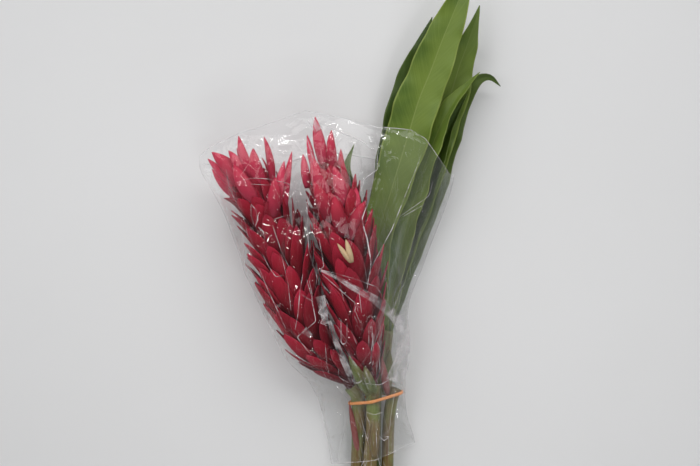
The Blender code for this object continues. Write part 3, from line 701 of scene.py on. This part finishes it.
def film(contents, material):
    """The clear sleeve: a taut skin round the bunch with creases pressed into it, open at both ends.

    Its rings of points are handed back too, for the folds that lie on it.
    """
    ys = FILM_SECTIONS
    sections = smoothed(np.array([film_section(contents, y) for y in ys]), 0, 3)
    rings = np.zeros((FILM_ALONG + 1, FILM_AROUND, 3))
    for j in range(FILM_AROUND):
        rim = FRONT_RIM if 0 < j < FILM_FRONT else BACK_RIM
        top, bottom = 0.07, -0.23
        for _ in range(12):
            top = profile(rim, np.interp(top, ys, sections[:, j, 0]) / MM, MM)
            bottom = profile(LOWER_RIM, np.interp(bottom, ys, sections[:, j, 0]) / MM, MM)
        y = bottom + (top - bottom) * np.linspace(0, 1, FILM_ALONG + 1)
        rings[:, j, 0] = np.interp(y, ys, sections[:, j, 0])
        rings[:, j, 1] = y
        rings[:, j, 2] = np.interp(y, ys, sections[:, j, 1])
    rings = film_with_creases(rings)
    sheets = Sheets()
    sheets.tube(rings, 0.5, capped=False)
    return sheets.object("sleeve_of_film", material), rings


def film_with_creases(rings):
    """Moves the film's points along their outward directions by the creases."""
    ahead, behind = np.roll(rings, -1, axis=1), np.roll(rings, 1, axis=1)
    along = np.gradient(rings, axis=0)
    outward = np.cross(ahead - behind, along)
    outward /= np.linalg.norm(outward, axis=2)[:, :, None] + 1e-12
    outward = smoothed(smoothed(outward, 1, 6), 0, 6)
    outward /= np.linalg.norm(outward, axis=2)[:, :, None] + 1e-12
    steps = np.linalg.norm(np.diff(rings, axis=1, append=rings[:, :1]), axis=2)
    around = np.cumsum(steps, axis=1)
    around -= around.mean(axis=1)[:, None]
    up = rings[:, :, 1]
    field = creases(around, up, 11, 90, (0.4, 1.5), width=(0.006, 0.018), length=(0.05, 0.14), slope=22)
    field += creases(around, up, 12, 300, (0.2, 0.7), width=(0.0016, 0.0045), length=(0.015, 0.07), slope=34)
    field = np.maximum(field * MM, -DEEPEST_FURROW)
    raised = np.clip((rings[:, :, 2] - CREASED_FROM) / CREASED_OVER, 0, 1)
    column = np.arange(FILM_AROUND)
    from_side_fold = np.minimum(np.minimum(column, FILM_AROUND - column), np.abs(column - FILM_FRONT))
    away = np.clip(from_side_fold / SMOOTH_COLUMNS, 0, 1) ** 1.5
    return rings + outward * (field * raised * away)[:, :, None]


class FilmFront:
    """Finds the place on the front of the film that the camera sees at a given place of the picture."""

    def __init__(self, rings):
        front = rings[:, : FILM_FRONT + 1].reshape(-1, 3)
        self.heights = front[:, 2]
        self.seen = front[:, :2] / self.shrink(front[:, 2])[:, None]

    @staticmethod
    def shrink(height):
        """A true length at this height, as a share of the length that the camera sees in the scale plane."""
        return 1 - (height - SCALE_PLANE) / CAMERA_HEIGHT

    def at(self, x, y, lift):
        """The point that is seen at x, y, lifted off the film."""
        away = np.hypot(self.seen[:, 0] - x, self.seen[:, 1] - y)
        near = np.argpartition(away, 6)[:6]
        weight = 1 / (away[near] + 1e-4)
        height = float((self.heights[near] * weight).sum() / weight.sum()) + lift
        return np.array([x * self.shrink(height), y * self.shrink(height), height])


def flat_route(points, step):
    """Places a step apart on straight runs between the given points."""
    knots = np.array(points, float) * MM
    return resampled(knots, max(4, round(distances(knots)[-1] / step)))


def gathers():
    """Short straight folds that run towards the tie, where the film is drawn together."""
    draw = random.Random(21)
    found = []
    for count, low, high, far in ((46, 70, 127, 120), (14, -106, -76, 62)):
        for _ in range(count):
            turn = math.radians(draw.uniform(low, high))
            start = draw.uniform(9, far)
            end = start + draw.uniform(6, 26)
            drift = math.radians(draw.gauss(0, 3))
            found.append((draw.uniform(0.12, 0.34), [
                (TIE_X / MM + start * math.cos(turn), TIE_Y / MM + start * math.sin(turn)),
                (TIE_X / MM + end * math.cos(turn + drift), TIE_Y / MM + end * math.sin(turn + drift)),
            ]))
    return found


def fold_lines(rings, sharp, painted_sheen):
    """The film's rims and sharp folds as fine ridges with a painted highlight, and the places where it lies
    double as strips with a painted sheen.
    """
    front = FilmFront(rings)
    lines = Sheets()
    mouth, foot = rings[-1], rings[0]
    over = slice(0, FILM_FRONT + 1)
    for run in (mouth[over], mouth[FILM_FRONT:], foot[over], rings[:, 0], rings[:, FILM_FRONT]):
        lines.tube(stem_rings(run, RIM_RADIUS, RIDGE_SIDES, 0.0), 0.5)
    for half_width, route in [*FOLDS, *gathers()]:
        run = np.array([front.at(x, y, FOLD_LIFT) for x, y in flat_route(route, FOLD_STEP)])
        taper = np.sin(np.linspace(0.10, math.pi - 0.10, len(run))) ** 0.6
        radius = half_width * MM * taper * FOLD_SHARE
        lines.tube(stem_rings(smoothed(run, 0, 1), radius, RIDGE_SIDES, 0.0), 1.0)
    strips = Sheets()
    for start, end, route in DOUBLED.values():
        run = smoothed(flat_route(route, FOLD_STEP), 0, 3)
        ahead = np.gradient(run, axis=0)
        grid = []
        for n, (x, y) in enumerate(run):
            width = (start + (end - start) * n / (len(run) - 1)) * MM
            dx, dy = ahead[n] / np.linalg.norm(ahead[n])
            reach = np.linspace(-1, 1, 7) * width
            grid.append([front.at(x + dy * out, y - dx * out, STRIP_LIFT) for out in reach])
        strips.blade(grid, STRIP_THICKNESS, 0.5)
    return lines.object("film_folds", sharp), strips.object("film_laid_double_painted_sheen", painted_sheen)


def stage_light(name, at, size, power):
    """A rectangular lamp that points at the lit spot."""
    data = bpy.data.lights.new(name, "AREA")
    data.shape = "RECTANGLE"
    data.size, data.size_y = size
    data.energy = power
    data.spread = math.radians(90)
    lamp = bpy.data.objects.new(name, data)
    lamp.location = at
    lamp.rotation_euler = (Vector(LIT_SPOT) - Vector(at)).to_track_quat("-Z", "Y").to_euler()
    bpy.context.scene.collection.objects.link(lamp)


class Nodes:
    """Makes a node material step by step."""

    def __init__(self, name):
        self.material = bpy.data.materials.new(name)
        self.material.use_nodes = True
        self.tree = self.material.node_tree
        self.shader = self.tree.nodes["Principled BSDF"]
        self.output = self.tree.nodes["Material Output"]

    def new(self, kind, **values):
        """A node with its inputs set by name or number, or linked where the value is a socket."""
        made = self.tree.nodes.new(kind)
        for key, value in values.items():
            if key.startswith("set_"):
                setattr(made, key[4:], value)
        for key, value in values.items():
            if key.startswith("set_"):
                continue
            socket = made.inputs[int(key[1:])] if key[0] == "i" and key[1:].isdigit() else made.inputs[key]
            self.feed(socket, value)
        return made

    def feed(self, socket, value):
        """Links a value that is a socket, or sets a constant."""
        if isinstance(value, bpy.types.NodeSocket):
            self.tree.links.new(value, socket)
        elif socket.type == "RGBA":
            socket.default_value = (*value[:3], 1)
        else:
            socket.default_value = value

    def set(self, **values):
        for key, value in values.items():
            self.feed(self.shader.inputs[key.replace("_", " ")], value)

    def place(self):
        return self.new("ShaderNodeTexCoord").outputs["Object"]

    def tone(self):
        """The tone that the mesh holds for each blade."""
        return self.new("ShaderNodeAttribute", set_attribute_name="tone").outputs["Fac"]

    def uv(self):
        """The places across and along a blade."""
        uv = self.new("ShaderNodeUVMap", set_uv_map="UVMap").outputs[0]
        return self.new("ShaderNodeSeparateXYZ", i0=uv).outputs[:2]

    def from_midrib(self, across):
        return self.math("ABSOLUTE", self.math("SUBTRACT", across, 0.5))

    def math(self, operation, a, b=0.0):
        return self.new("ShaderNodeMath", set_operation=operation, i0=a, i1=b).outputs[0]

    def between(self, value, low, high, to_low=0.0, to_high=1.0):
        """A soft step between two values."""
        made = self.new("ShaderNodeMapRange", i0=value, i1=low, i2=high, i3=to_low, i4=to_high)
        made.interpolation_type = "SMOOTHSTEP"
        return made.outputs[0]

    def ramp(self, value, stops):
        made = self.new("ShaderNodeValToRGB", i0=value)
        ramp = made.color_ramp
        while len(ramp.elements) < len(stops):
            ramp.elements.new(0.5)
        for element, (at, colour) in zip(ramp.elements, stops):
            element.position = at
            element.color = (*colour, 1)
        return made.outputs[0]

    def mix(self, share, a, b):
        return self.new("ShaderNodeMix", set_data_type="RGBA", i0=share, i6=a, i7=b).outputs[2]

    def cover(self, share, below, above):
        """A surface that covers a share of another one."""
        return self.new("ShaderNodeMixShader", i0=share, i1=below, i2=above).outputs[0]

    def noise(self, vector, scale, detail=3.0, roughness=0.55):
        made = self.new("ShaderNodeTexNoise", Vector=vector, Scale=scale, Detail=detail, Roughness=roughness)
        return made.outputs[0]

    def stretched(self, across, along, scale_across, scale_along):
        """A texture place with its own scale across and along a blade."""
        return self.new(
            "ShaderNodeCombineXYZ", i0=self.math("MULTIPLY", across, scale_across),
            i1=self.math("MULTIPLY", along, scale_along),
        ).outputs[0]

    def bump(self, height, distance, strength=1.0):
        made = self.new("ShaderNodeBump", Height=height, Distance=distance, Strength=strength)
        self.set(Normal=made.outputs[0])

    def surface(self, shader):
        self.tree.links.new(shader, self.output.inputs["Surface"])


def bract_material():
    """Waxy crimson bracts: darker at the root, which is painted shade, and at the very tip, with fine veins
    along them and lighter margins, which are a painted highlight.
    """
    n = Nodes("crimson_bract")
    across, along = n.uv()
    # Painted shade: the colour darkens down to each bract's root, where the bracts overlap; the darker very tip
    # is the bract's own colour.
    colour = n.ramp(along, [
        (0.0, (0.050, 0.001, 0.005)), (0.32, (0.20, 0.002, 0.011)), (0.62, (0.42, 0.009, 0.030)),
        (0.90, (0.56, 0.020, 0.058)), (1.0, (0.26, 0.008, 0.020)),
    ])
    veins = n.noise(n.stretched(across, along, 34.0, 1.6), 1.0)
    colour = n.mix(n.between(veins, 0.42, 0.66, 0.0, 0.26), colour, (0.17, 0.002, 0.009))
    cloud = n.noise(n.place(), 42.0)
    colour = n.mix(n.between(cloud, 0.40, 0.72, 0.0, 0.32), colour, (0.62, 0.026, 0.075))
    # Darker by tone: the bracts' tones differ at random, and the core's lowest tone is a painted shade.
    colour = n.mix(n.between(n.tone(), 0.25, 1.0, 0.58, 0.0), colour, (0.085, 0.001, 0.006))
    colour = n.mix(n.between(n.tone(), 1.0, 1.5, 0.0, 0.75), colour, (0.80, 0.070, 0.145))
    # Painted highlight: the margins of every bract turn lighter pink, standing in for the film's glints along
    # them.
    edge = n.from_midrib(across)
    colour = n.mix(n.between(edge, 0.44, 0.5, 0.0, 0.25), colour, (0.55, 0.040, 0.085))
    n.set(Base_Color=colour, Roughness=n.between(cloud, 0.3, 0.8, 0.42, 0.60), Specular_IOR_Level=0.18)
    n.bump(veins, 0.0005, 0.55)
    return n.material


def leaf_material(name, deep, fresh):
    """A waxy leaf: pale midrib, yellow-green margin and fine veins that slant towards the margin."""
    n = Nodes(name)
    across, along = n.uv()
    edge = n.from_midrib(across)
    slant = n.math("SUBTRACT", along, n.math("MULTIPLY", edge, 0.16))
    veins = n.noise(n.stretched(across, slant, 2.0, 210.0), 1.0, 2.0)
    cloud = n.noise(n.place(), 16.0)
    colour = n.mix(n.between(cloud, 0.35, 0.7), deep, fresh)
    # Painted light: one half of each leaf, from the midrib to its margin, is lighter, as the side of a folded
    # leaf that faces the light.
    half = n.between(across, 0.46, 0.54)
    colour = n.mix(n.math("MULTIPLY", half, 0.55), colour, fresh)
    colour = n.mix(n.between(veins, 0.45, 0.62, 0.0, 0.16), colour, (0.20, 0.28, 0.06))
    colour = n.mix(n.between(edge, 0.455, 0.495, 0.0, 0.55), colour, (0.30, 0.36, 0.080))
    colour = n.mix(n.between(edge, 0.004, 0.018, 0.45, 0.0), colour, (0.25, 0.30, 0.09))
    colour = n.mix(n.between(n.tone(), 0.0, 1.0, 0.86, 0.0), colour, (0.013, 0.034, 0.005))
    n.set(Base_Color=colour, Roughness=n.between(cloud, 0.3, 0.8, 0.42, 0.56), Specular_IOR_Level=0.3)
    n.bump(veins, 0.0003, 0.5)
    return n.material


def stem_material(name):
    """Green stems and sheaths with a brownish cast in places and fine lines along them."""
    n = Nodes(name)
    across, along = n.uv()
    lines = n.noise(n.stretched(across, along, 30.0, 5.0), 1.0)
    place = n.place()
    cloud = n.noise(place, 26.0)
    colour = n.mix(n.between(cloud, 0.38, 0.68), (0.036, 0.066, 0.014), (0.17, 0.215, 0.050))
    colour = n.mix(n.between(n.noise(place, 16.0), 0.48, 0.62, 0.0, 0.8), colour, (0.17, 0.080, 0.024))
    colour = n.mix(n.between(lines, 0.45, 0.62, 0.0, 0.45), colour, (0.25, 0.28, 0.10))
    n.set(Base_Color=colour, Roughness=n.between(cloud, 0.3, 0.8, 0.40, 0.58))
    n.bump(lines, 0.0005, 0.6)
    return n.material


def band_material():
    """Orange rubber, a little dusty."""
    n = Nodes("orange_rubber")
    dust = n.noise(n.place(), 700.0)
    colour = n.mix(n.between(dust, 0.35, 0.75), (0.84, 0.29, 0.075), (0.95, 0.42, 0.15))
    n.set(Base_Color=colour, Roughness=n.between(dust, 0.3, 0.8, 0.45, 0.62))
    n.bump(dust, 0.0001, 0.6)
    return n.material


def film_material():
    """Thin clear film: see-through, mirror-like at a slant, finely creased and hazier over the leaves."""
    n = Nodes("clear_film")
    place = n.place()
    drawn = n.new("ShaderNodeMapping", i0=place, i3=(1.0, 0.42, 1.0)).outputs[0]
    ridges = []
    for scale, half_width, rise in ((30.0, 0.045, 1.0), (85.0, 0.07, 0.40)):
        cells = n.new("ShaderNodeTexVoronoi", set_feature="DISTANCE_TO_EDGE", Vector=drawn, Scale=scale)
        narrow = n.math("MINIMUM", cells.outputs["Distance"], half_width)
        creased = n.between(n.noise(place, scale * 0.6, 2.0), 0.46, 0.60)
        ridges.append(n.math("MULTIPLY", n.math("MULTIPLY", narrow, creased), rise))
    across, upwards = n.new("ShaderNodeSeparateXYZ", i0=place).outputs[:2]
    gathered = n.between(upwards, SHIFT[1] - 0.12, SHIFT[1], 2.0, 1.0)
    height = n.math("MULTIPLY", n.math("ADD", ridges[0], ridges[1]), gathered)
    bump = n.new("ShaderNodeBump", Height=height, Distance=0.013)
    clear = n.new("ShaderNodeBsdfTransparent", Color=(0.985, 0.987, 0.988, 1))
    fresnel = n.new("ShaderNodeFresnel", IOR=1.5, Normal=bump.outputs[0])
    gloss = n.new("ShaderNodeBsdfGlossy", Color=(1, 1, 1, 1), Roughness=0.06, Normal=bump.outputs[0])
    n.set(Base_Color=(0.84, 0.85, 0.87), Roughness=0.5)
    haze = n.between(across, HAZE_FROM + SHIFT[0], HAZE_TO + SHIFT[0], 0.004, 0.045)
    faint = n.cover(haze, clear.outputs[0], n.shader.outputs[0])
    mirror = n.math("MINIMUM", n.math("MULTIPLY", fresnel.outputs[0], 0.8), MOST_MIRROR)
    n.surface(n.cover(mirror, faint, gloss.outputs[0]))
    return n.material


def folded_film_material(name, least, most, colour):
    """Painted highlight and sheen on film seen on edge or lying double: whiter than the rest, more in some
    places than in others.
    """
    n = Nodes(name)
    # This noise stands in for where the film catches the light: painted highlight.
    highlight_patches = n.noise(n.place(), 75.0, 3.0, 0.6)
    n.set(Base_Color=colour, Roughness=0.22, IOR=1.5)
    clear = n.new("ShaderNodeBsdfTransparent", Color=(0.98, 0.98, 0.985, 1))
    share = n.between(highlight_patches, 0.38, 0.66, least, most)
    n.surface(n.cover(share, clear.outputs[0], n.shader.outputs[0]))
    return n.material


def lined_material(name, dark, pale, scale_across, scale_along, roughness, relief):
    """The skin of a dry floret or sheath, with lines along it."""
    n = Nodes(name)
    across, along = n.uv()
    lines = n.noise(n.stretched(across, along, scale_across, scale_along), 1.0)
    n.set(Base_Color=n.mix(lines, dark, pale), Roughness=roughness)
    n.bump(lines, 0.0004, relief)
    return n.material


def floor_material():
    """A pale matte board with a faint unevenness."""
    n = Nodes("pale_board")
    cloud = n.noise(n.place(), 3.0)
    n.set(Base_Color=n.mix(cloud, (0.70, 0.70, 0.70), (0.74, 0.74, 0.745)), Roughness=0.8)
    return n.material


def points_of(objects):
    """Every vertex of the pieces, in the routes' frame."""
    return np.array([tuple(v.co) for obj in objects for v in obj.data.vertices]) - SHIFT


def riding(piece, slot, *nodes):
    """Ties a piece to the bunch and hides the nodes that it stands for. The slot is not used."""
    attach(piece, "root")
    if nodes:
        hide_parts(*nodes)
    return piece


def leafy_shoot(material):
    """The leaves of the shoot: lighter ones and the darker ones behind them."""
    sheets = Sheets()
    for index, (*leaf, tone) in enumerate(LEAVES.values()):
        sheets.blade(leaf_grid(*leaf, phase=index * 1.7), LEAF_THICKNESS, tone, 0.7)
    return riding(sheets.object("shoot_leaves", material), "leaf", "leafy_shoot")


def stems():
    """The four stems that the band holds."""
    green = stem_material("green_stem")
    made = []
    for name, node, route, radius in STEMS:
        points, _ = smooth_route(route, 0.003)
        sheets = Sheets()
        sheets.tube(stem_rings(points, radius, seed=len(made)), 0.5)
        made.append(riding(sheets.object(name, green), "stem", *([node] if node else [])))
    return made


def blades(name, shapes, slot, material):
    """A handful of small blades, each from its root to its tip, in two tones by turns."""
    sheets = Sheets()
    for index, (root, tip, half_width) in enumerate(shapes):
        sheets.blade(single_bract(root, tip, half_width), SHEATH_THICKNESS, 0.5 + 0.4 * (index % 2))
    return riding(sheets.object(name, material), slot)


def camera():
    """Looks straight down, at the height that gives the picture its scale."""
    data = bpy.data.cameras.new("camera")
    data.lens, data.sensor_width = 50, 36
    made = bpy.data.objects.new("camera", data)
    made.location = (SHIFT[0], SHIFT[1], SCALE_PLANE + CAMERA_HEIGHT)
    bpy.context.scene.collection.objects.link(made)
    bpy.context.scene.camera = made


def soft_room():
    """Surroundings that are pale at the height of the walls and dark overhead."""
    world = bpy.data.worlds.new("soft_room")
    world.use_nodes = True
    tree = world.node_tree
    ground = tree.nodes["Background"]
    place = tree.nodes.new("ShaderNodeTexCoord")
    split = tree.nodes.new("ShaderNodeSeparateXYZ")
    fade = tree.nodes.new("ShaderNodeMapRange")
    for socket, value in zip(fade.inputs[1:5], (0.0, 0.65, 0.66, 0.07)):
        socket.default_value = value
    tree.links.new(place.outputs["Generated"], split.inputs[0])
    tree.links.new(split.outputs[2], fade.inputs[0])
    tree.links.new(fade.outputs[0], ground.inputs[1])
    ground.inputs[0].default_value = (0.97, 0.98, 1.0, 1)
    bpy.context.scene.world = world


def stage():
    """The pale board, its surroundings and the lamps."""
    bpy.ops.mesh.primitive_plane_add(size=9, location=(0, 0, 0))
    floor = bpy.context.object
    floor.name = "pale_board"
    floor.data.materials.append(floor_material())
    soft_room()
    stage_light("window", (-1.2, 1.4, 1.6), (2.3, 1.7), 8.6)
    stage_light("lamp_right", (1.0, 1.5, 1.6), (2.0, 1.5), 7.1)
    stage_light("strip_left", (-0.75, 0.1, 1.3), (0.03, 0.9), 0.75)
    stage_light("strip_low", (0.3, -1.1, 1.2), (0.8, 0.03), 0.85)
    stage_light("strip_top", (0.25, 0.9, 1.35), (0.8, 0.03), 0.62)
    stage_light("spark", (0.45, -0.35, 1.4), (0.04, 0.04), 0.28)
    bpy.context.scene.view_settings.view_transform = "Standard"


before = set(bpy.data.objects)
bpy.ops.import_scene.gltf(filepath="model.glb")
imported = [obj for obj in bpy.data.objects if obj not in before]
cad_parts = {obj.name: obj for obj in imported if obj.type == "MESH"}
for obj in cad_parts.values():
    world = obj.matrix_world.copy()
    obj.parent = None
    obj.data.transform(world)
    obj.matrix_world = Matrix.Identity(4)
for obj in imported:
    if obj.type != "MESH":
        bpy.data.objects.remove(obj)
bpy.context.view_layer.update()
band_low, band_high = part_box("rubber_band")
SHIFT = np.array((band_low + band_high) / 2) - np.array(BAND_MIDDLE) * MM

camera()
stage()
crimson = bract_material()
waxy_green = leaf_material("waxy_leaf", (0.058, 0.110, 0.012), (0.135, 0.198, 0.024))
left = riding(
    head("left_head_bracts", LEFT_HEAD_ROUTE, LEFT_HEAD_REACH, LEFT_BRACTS, LEFT_SPIRAL_END, 3, -1,
         LEFT_TIP_BRACTS, crimson),
    "bract", "flower_head_left",
)
centre = riding(
    head("centre_head_bracts", CENTRE_HEAD_ROUTE, CENTRE_HEAD_REACH, CENTRE_BRACTS, CENTRE_SPIRAL_END, 8, 1,
         CENTRE_TIP_BRACTS, crimson),
    "bract", "flower_head_centre",
)
shoot = leafy_shoot(waxy_green)
cut_stems = stems()
band = riding(rubber_band(band_material()), "band", "rubber_band")
reddish = lined_material("reddish_sheath", (0.17, 0.030, 0.030), (0.33, 0.085, 0.075), 14.0, 3.0, 0.45, 0.5)
papery = lined_material("dry_floret_skin", (0.46, 0.30, 0.15), (0.86, 0.66, 0.40), 9.0, 2.5, 0.7, 0.6)
small_parts = [
    blades("green_sheaths", GREEN_SHEATHS, "stem", stem_material("dark_sheath")),
    blades("red_sheaths", RED_SHEATHS, "stem", reddish),
    blades("dry_floret", DRY_FLORET, "bract", papery),
]
sleeve, rings = film(points_of([left, centre, shoot, band, *cut_stems, *small_parts]), film_material())
riding(sleeve, "film", "film_sleeve")
# The film's rims, folds and doubled places carry a whitish painted highlight and sheen.
for piece in fold_lines(
    rings, folded_film_material("film_edge_painted_highlight", 0.06, 0.62, (0.84, 0.80, 0.82)),
    folded_film_material("film_laid_double_painted_sheen", 0.03, 0.32, (0.80, 0.76, 0.77)),
):
    riding(piece, "film")
